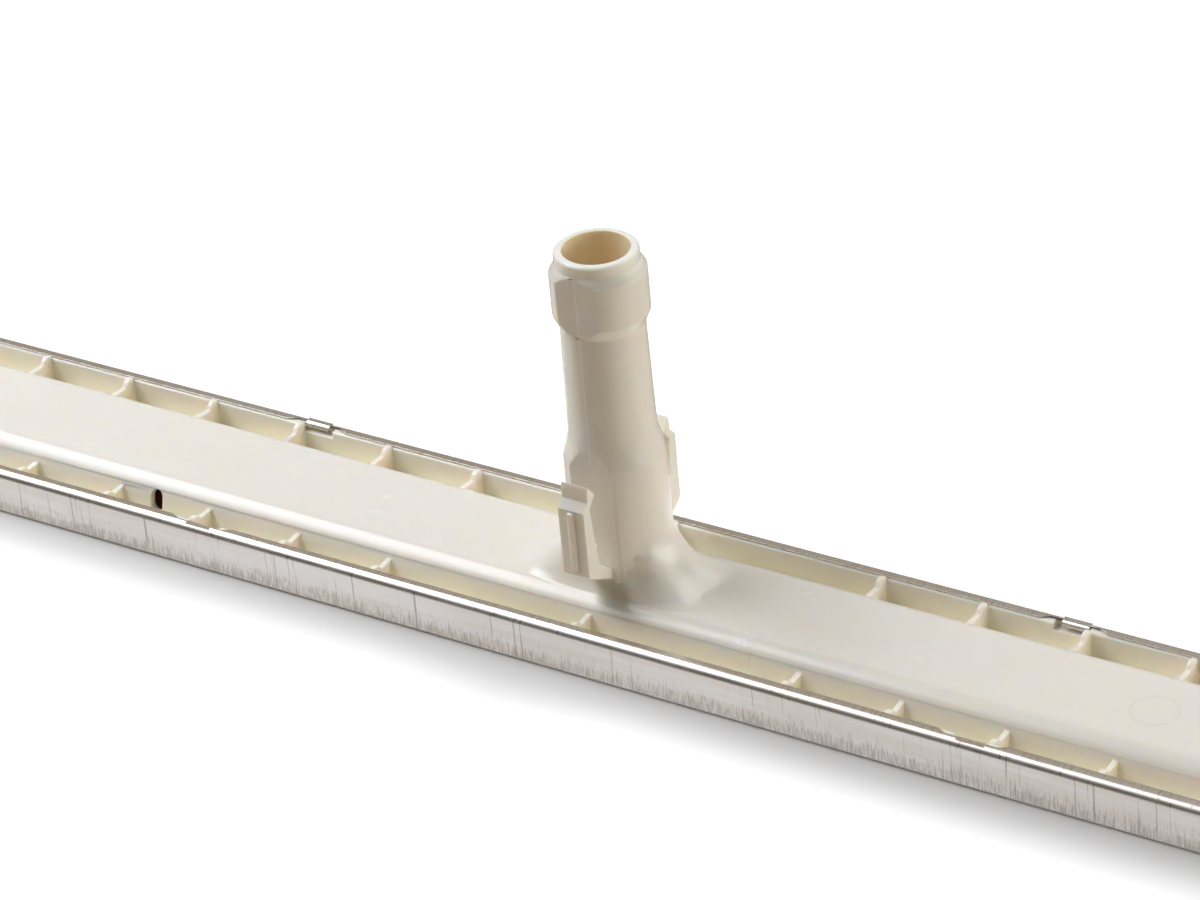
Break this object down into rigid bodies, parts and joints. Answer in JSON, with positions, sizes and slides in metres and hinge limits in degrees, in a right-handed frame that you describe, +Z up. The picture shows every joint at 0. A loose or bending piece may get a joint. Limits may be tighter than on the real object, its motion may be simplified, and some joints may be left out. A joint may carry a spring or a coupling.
{
  "type": "dishwasher spray arm",
  "caption": "Long spray arm with round ends: cream plastic moulding with an upright feed tube and snap clips, closed below by a pressed steel cover with spray slots.",
  "frame": {"origin": "middle of the steel face that the arm lies on, below the feed tube's axis", "axes": "+X along the arm, +Z up along the feed tube, towards its spigot"},
  "size_m": [0.49, 0.056, 0.1],
  "materials": {
    "cream_plastic": "smooth moulded cream plastic, semi-gloss",
    "stainless_sheet": "pressed stainless sheet with drawing marks",
    "soft_seal": "soft matte sealing ring"
  },
  "bodies": {
    "root": {"arm_shell": "cream_plastic", "steel_cover": "stainless_sheet", "rim_seal": "soft_seal"}
  },
  "joints": []
}
